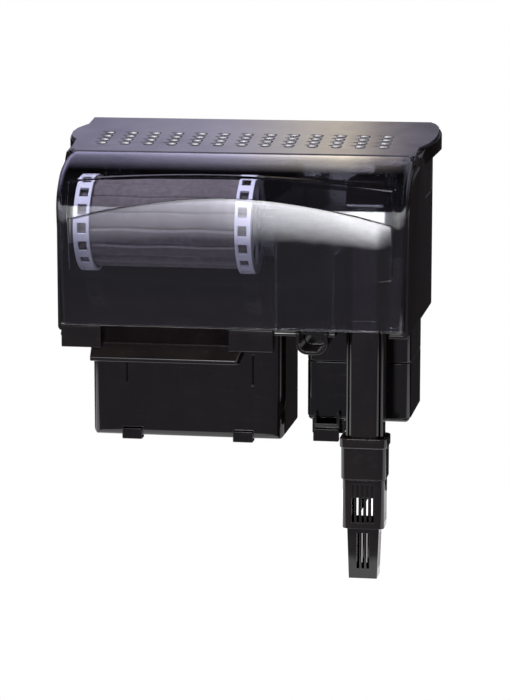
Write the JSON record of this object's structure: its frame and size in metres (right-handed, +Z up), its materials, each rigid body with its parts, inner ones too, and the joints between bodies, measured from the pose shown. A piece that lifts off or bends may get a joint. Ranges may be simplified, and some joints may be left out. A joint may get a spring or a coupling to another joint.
{
  "type": "hang on back aquarium filter",
  "caption": "Hang-on-back aquarium filter with a smoked front cover, vented hinged lid, rotating pleated media wheel, side intake and slotted strainer.",
  "frame": {"origin": "on the tub's flat underside where it rests on the tank's rim, midway across the tub", "axes": "+Z up, +X along the rim towards the pump side, -Y into the tank"},
  "size_m": [0.295, 0.162, 0.3434],
  "materials": {
    "black_gloss": "glossy black moulded plastic with a faint violet cast",
    "smoke": "clear smoke-tinted glossy plastic",
    "intake_black": "brown-black satin-gloss plastic",
    "wheel_white": "white moulded plastic, slightly violet behind the smoked cover",
    "pleated": "pleated grey-brown polyester",
    "blue_plastic": "blue moulded plastic",
    "floss": "white polyester floss",
    "carbon": "black activated carbon grains",
    "steel": "bare laminated steel",
    "copper": "enamelled copper wire",
    "ceramic": "polished white ceramic",
    "rubber": "black soft rubber",
    "magnet": "grey sintered ferrite",
    "grey_plastic": "dark grey moulded plastic"
  },
  "bodies": {
    "filter": {"filter_body": "black_gloss", "motor_housing": "black_gloss", "motor_base": "black_gloss", "stator_core": "steel", "stator_coil": "copper", "cord_gland": "rubber", "rotor_shaft": "ceramic", "lower_bush": "rubber", "upper_bush": "rubber", "impeller_cap": "grey_plastic", "intake_tube": "intake_black", "intake_seal": "rubber", "cartridge_frame_front": "blue_plastic", "cartridge_frame_rear": "blue_plastic", "floss_pad_front": "floss", "floss_pad_rear": "floss", "carbon_fill_front": "carbon", "carbon_fill_rear": "carbon", "wheel_cradle_left": "grey_plastic", "wheel_cradle_right": "grey_plastic"},
    "media_wheel": {"wheel_rim_left": "wheel_white", "wheel_rim_right": "wheel_white", "wheel_core": "blue_plastic", "pleated_media": "pleated", "axle_pin_left": "wheel_white", "axle_pin_right": "wheel_white"},
    "rotor": {"impeller": "wheel_white", "rotor_magnet": "magnet"},
    "cover": {"front_cover": "smoke"},
    "lid": {"vented_lid": "black_gloss"},
    "strainer": {"strainer_sleeve": "intake_black", "strainer_basket": "intake_black"},
    "leveller": {"levelling_slider": "black_gloss"}
  },
  "joints": [
    {"name": "wheel_spin", "type": "hinge", "parent": "filter", "child": "media_wheel", "pos_m": [-0.0536, -0.012, 0.08], "axis": [1, 0, 0], "continuous": true},
    {"name": "rotor_spin", "type": "hinge", "parent": "filter", "child": "rotor", "pos_m": [0.1005, 0.05, -0.03], "axis": [0, 0, 1], "continuous": true},
    {"name": "cover_lift", "type": "slide", "parent": "filter", "child": "cover", "axis": [0, 0, 1], "range_m": [0, 0.06]},
    {"name": "lid_hinge", "type": "hinge", "parent": "cover", "child": "lid", "pos_m": [0, -0.0015, 0.13399], "axis": [1, 0, 0], "range_deg": [0, 88]},
    {"name": "strainer_telescope", "type": "slide", "parent": "filter", "child": "strainer", "axis": [0, 0, 1], "range_m": [-0.03, 0.02]},
    {"name": "levelling_slide", "type": "slide", "parent": "filter", "child": "leveller", "axis": [0, -1, 0], "range_m": [0, 0.012]}
  ]
}
